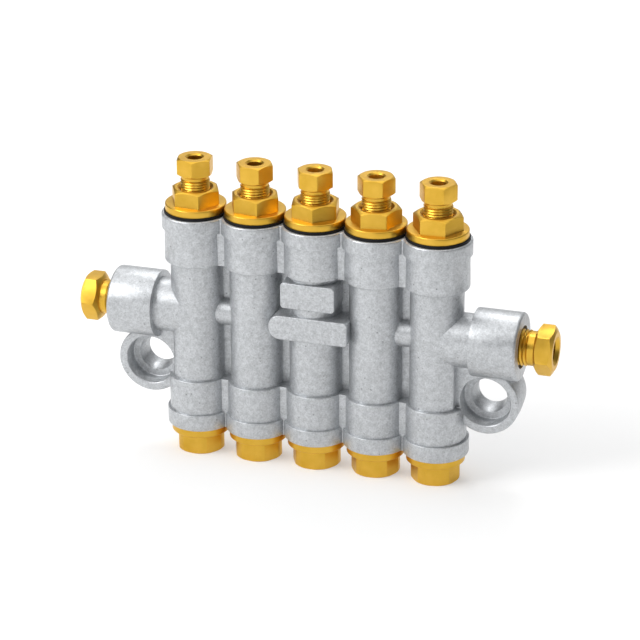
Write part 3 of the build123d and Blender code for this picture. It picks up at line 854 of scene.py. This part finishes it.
def texture(made, kind, scale, squeeze=(1, 1, 1)):
    """Texture on the piece's own coordinates; the scale counts grains per metre."""
    nodes, links = made.node_tree.nodes, made.node_tree.links
    place = nodes.new("ShaderNodeTexCoord")
    stretch = nodes.new("ShaderNodeMapping")
    stretch.inputs["Scale"].default_value = squeeze
    pattern = nodes.new(kind)
    pattern.inputs["Scale"].default_value = scale
    links.new(place.outputs["Object"], stretch.inputs["Vector"])
    links.new(stretch.outputs["Vector"], pattern.inputs["Vector"])
    return pattern


def noise(made, scale, detail, squeeze=(1, 1, 1)):
    """Cloudy pattern, between 0 and 1."""
    pattern = texture(made, "ShaderNodeTexNoise", scale, squeeze)
    pattern.inputs["Detail"].default_value = detail
    return pattern.outputs["Fac"]


def cells(made, scale):
    """Distance from scattered points: small near each of them."""
    return texture(made, "ShaderNodeTexVoronoi", scale).outputs["Distance"]


print("patterns:", noise.__name__, "and", cells.__name__)

# %% [markdown]
# A pattern is only a height between 0 and 1. Three more helpers put it to use: spread turns it into
# colours or greys, mixed lays one colour over another, and raise_surface lets it tilt the light as
# fine relief would. Each adds its node and links what comes in.
# %% From pattern to colour and relief


def mixed(made, first, second, way, share):
    """Two colours mixed in one of the ways that the mix node knows."""
    nodes, links = made.node_tree.nodes, made.node_tree.links
    mix = nodes.new("ShaderNodeMix")
    mix.data_type = "RGBA"
    mix.blend_type = way
    mix.inputs["Factor"].default_value = share
    links.new(first, mix.inputs[6])
    links.new(second, mix.inputs[7])
    return mix.outputs[2]


def spread(made, source, dark, light, low=0.3, high=0.7):
    """Turns a noise into a range of colours, or of grey values."""
    nodes, links = made.node_tree.nodes, made.node_tree.links
    ramp = nodes.new("ShaderNodeValToRGB")
    ramp.color_ramp.elements[0].position = low
    ramp.color_ramp.elements[1].position = high
    ramp.color_ramp.elements[0].color = (*dark, 1)
    ramp.color_ramp.elements[1].color = (*light, 1)
    links.new(source, ramp.inputs["Fac"])
    return ramp.outputs["Color"]


def raise_surface(made, shader, sources):
    """Chains bumps of (height source, strength, depth in metres) into the shader's normal."""
    nodes, links = made.node_tree.nodes, made.node_tree.links
    previous = None
    for source, strength, depth in sources:
        bump = nodes.new("ShaderNodeBump")
        bump.inputs["Strength"].default_value = strength
        bump.inputs["Distance"].default_value = depth
        links.new(source, bump.inputs["Height"])
        if previous:
            links.new(previous, bump.inputs["Normal"])
        previous = bump.outputs["Normal"]
    links.new(previous, shader.inputs["Normal"])


print("tools:", [tool.__name__ for tool in (mixed, spread, raise_surface)])

# %% [markdown]
# Die-cast aluminium that was tumbled: light grey, matt, and mottled. Broad clouds and a fine grain
# share the tint, small pits and a few larger specks lie over both, and two bumps roughen the skin.
# One noise alone would look like fog or like sand. The real skin has both sizes at once.
# %% Cast aluminium
cast, cast_shader = material("cast_aluminium", (0.48, 0.494, 0.508), metallic=0.75, roughness=0.46)
clouds = spread(cast, noise(cast, scale=750, detail=6),
                dark=(0.43, 0.442, 0.454), light=(0.585, 0.6, 0.617), low=0.35, high=0.65)
grain = spread(cast, noise(cast, scale=2200, detail=3),
               dark=(0.36, 0.37, 0.38), light=(0.66, 0.68, 0.7), low=0.35, high=0.65)
tint = mixed(cast, clouds, grain, "MIX", share=0.4)
pits = spread(cast, cells(cast, scale=1300),
              dark=(0.7, 0.7, 0.7), light=(1.0, 1.0, 1.0), low=0.08, high=0.2)
specks = spread(cast, cells(cast, scale=350),
                dark=(0.55, 0.55, 0.55), light=(1.0, 1.0, 1.0), low=0.05, high=0.1)
tint = mixed(cast, tint, pits, "MULTIPLY", share=1.0)
tint = mixed(cast, tint, specks, "MULTIPLY", share=1.0)
cast.node_tree.links.new(tint, cast_shader.inputs["Base Color"])
gloss = spread(cast, noise(cast, scale=700, detail=3),
               dark=(0.37, 0.37, 0.37), light=(0.51, 0.51, 0.51))
cast.node_tree.links.new(gloss, cast_shader.inputs["Roughness"])
raise_surface(cast, cast_shader, [
    (noise(cast, scale=700, detail=2), 0.35, 0.0001),
    (noise(cast, scale=2600, detail=3), 0.5, 0.00005),
])
print("made", cast.name, "with", len(cast.node_tree.nodes), "nodes")

# %% [markdown]
# Turned brass has a satin skin. The tool leaves rings round the axis, so the noise is squeezed
# along it: upwards for what stands in the columns, sideways for the two nuts of the supply line.
# An anisotropic shader could hint at the rings, but it wouldn't vary from ring to ring.
# %% Brass


def turned_brass(name, squeeze):
    """Satin brass whose tool rings run across the squeezed direction."""
    made, shader = material(name, (0.7, 0.42, 0.055), metallic=1.0, roughness=0.37)
    tone = spread(made, noise(made, scale=300, detail=3),
                  dark=(0.66, 0.39, 0.045), light=(0.74, 0.45, 0.065))
    made.node_tree.links.new(tone, shader.inputs["Base Color"])
    rings = noise(made, 90, 2, squeeze)
    polish = spread(made, rings, dark=(0.32, 0.32, 0.32), light=(0.42, 0.42, 0.42))
    made.node_tree.links.new(polish, shader.inputs["Roughness"])
    raise_surface(made, shader, [(rings, 0.12, 0.00002)])
    return made


upright_brass = turned_brass("satin_brass_upright", squeeze=(1, 1, 40))
sideways_brass = turned_brass("satin_brass_sideways", squeeze=(40, 1, 1))
print("made", upright_brass.name, "and", sideways_brass.name)

# %% [markdown]
# The rubber is nearly black and matt. A flat black would look like a hole in the picture, so it
# keeps a little noise in its tone and a faint sheen. The springs are drawn steel wire: bright and
# even, with a slight change of tone along the way.
# %% Rubber and spring steel
rubber, rubber_shader = material("black_rubber", (0.006, 0.006, 0.007), metallic=0.0, roughness=0.6)
rubber_shader.inputs["Specular IOR Level"].default_value = 0.2
rubber_tone = spread(rubber, noise(rubber, scale=900, detail=2),
                     dark=(0.004, 0.004, 0.0045), light=(0.01, 0.01, 0.011))
rubber.node_tree.links.new(rubber_tone, rubber_shader.inputs["Base Color"])
raise_surface(rubber, rubber_shader, [(noise(rubber, scale=2400, detail=2), 0.2, 0.00004)])

steel, steel_shader = material("spring_steel", (0.5, 0.51, 0.53), metallic=1.0, roughness=0.3)
steel_tone = spread(steel, noise(steel, scale=1500, detail=2),
                    dark=(0.42, 0.43, 0.45), light=(0.56, 0.57, 0.59))
steel.node_tree.links.new(steel_tone, steel_shader.inputs["Base Color"])
print("made", rubber.name, "and", steel.name)

# %% [markdown]
# Every piece, new or carried over, takes the finish of its slot. A new piece says its slot itself,
# and a node's slot stands in the record. Brass on the supply line gets the sideways rings.
# %% Give every piece its finish
finishes = {"cast_body": cast, "brass": upright_brass, "rubber": rubber, "spring_steel": steel}
slot_of_node = {row["node"]: row["material_slot"] for row in frame["record"]["subparts"]}
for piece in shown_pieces():
    slot = piece.get("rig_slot") or slot_of_node[piece.name]
    piece.data.materials.clear()
    sideways = slot == "brass" and "port" in piece.name
    piece.data.materials.append(sideways_brass if sideways else finishes[slot])

# %% [markdown]
# The photograph was taken from a little to the right and above with a long lens. The camera's
# place was worked out from the row of columns, and it is turned by a third of a degree. Its three
# axes are built from the angles, so nothing has to be turned by hand.
# %% Camera
azimuth, elevation, roll = math.radians(17.92), math.radians(23.339), math.radians(-0.348)
aim = Vector((1.111, 0, 42.323)) * MM
distance = 754.178 * MM
back = Vector((math.sin(azimuth) * math.cos(elevation), -math.cos(azimuth) * math.cos(elevation),
               math.sin(elevation)))
level = Vector((0, 0, 1)).cross(back).normalized()
upright = back.cross(level)
right = level * math.cos(roll) + upright * math.sin(roll)
up = upright * math.cos(roll) - level * math.sin(roll)
camera_data = bpy.data.cameras.new("camera")
camera_data.sensor_width = 36.0
camera_data.lens = 156.4
camera_data.clip_end = 20.0
camera = bpy.data.objects.new("camera", camera_data)
camera.matrix_world = Matrix((right, up, back)).transposed().to_4x4()
camera.location = aim + back * distance
bpy.context.scene.collection.objects.link(camera)
bpy.context.scene.camera = camera
print("camera at", [round(value, 4) for value in camera.location])

# %% [markdown]
# The floor is a pale sheet that also shines a little, as on a light table. Plain white paper would
# turn grey wherever the part keeps the light away, and upright metal mirrors the floor.
# %% Floor
deselect()
bpy.ops.mesh.primitive_plane_add(size=6.0)
floor = bpy.context.object
floor.name = "floor"
paper, paper_shader = material("paper", (0.65, 0.65, 0.65), metallic=0.0, roughness=0.9)
paper_shader.inputs["Specular IOR Level"].default_value = 0.0
paper_shader.inputs["Emission Color"].default_value = (1.0, 1.0, 1.0, 1)
paper_shader.inputs["Emission Strength"].default_value = 0.35
floor.data.materials.append(paper)
print("floor:", [round(side, 1) for side in floor.dimensions[:2]], "metres")

# %% [markdown]
# The light is soft: a panel from the left, a low one from the front, a wide ceiling, a small one
# high behind the part, which only the rounded edges can mirror towards the camera, and a wide one
# far behind that lifts the rear. Small hard lamps would make bright dots on brass, while a large
# panel draws the long calm streaks that the photograph shows.
# %% Light


def panel(name, place, size, power):
    """Soft light panel that faces the part: place and size in metres, power in watts."""
    data = bpy.data.lights.new(name, "AREA")
    data.shape = "RECTANGLE"
    data.size, data.size_y = size
    data.energy = power
    light = bpy.data.objects.new(name, data)
    light.location = place
    to_part = aim - Vector(place)
    light.rotation_euler = to_part.to_track_quat("-Z", "Y").to_euler()
    bpy.context.scene.collection.objects.link(light)
    return light


panel("key_panel", place=(-0.85, -0.65, 0.8), size=(0.7, 0.7), power=11)
panel("front_panel", place=(-0.2, -1.5, 0.25), size=(1.0, 0.3), power=2)
panel("top_panel", place=(-0.1, 0.0, 1.15), size=(2.0, 1.6), power=13)
panel("rim_panel", place=(-0.2, 0.7, 1.0), size=(0.5, 0.3), power=3)
panel("back_panel", place=(0.0, 1.2, 0.6), size=(2.0, 0.8), power=3)
world = bpy.data.worlds.new("surround")
world.use_nodes = True
world.node_tree.nodes["Background"].inputs["Color"].default_value = (0.9, 0.92, 0.95, 1)
world.node_tree.nodes["Background"].inputs["Strength"].default_value = 0.15
bpy.context.scene.world = world
bpy.context.scene.view_settings.view_transform = "Standard"
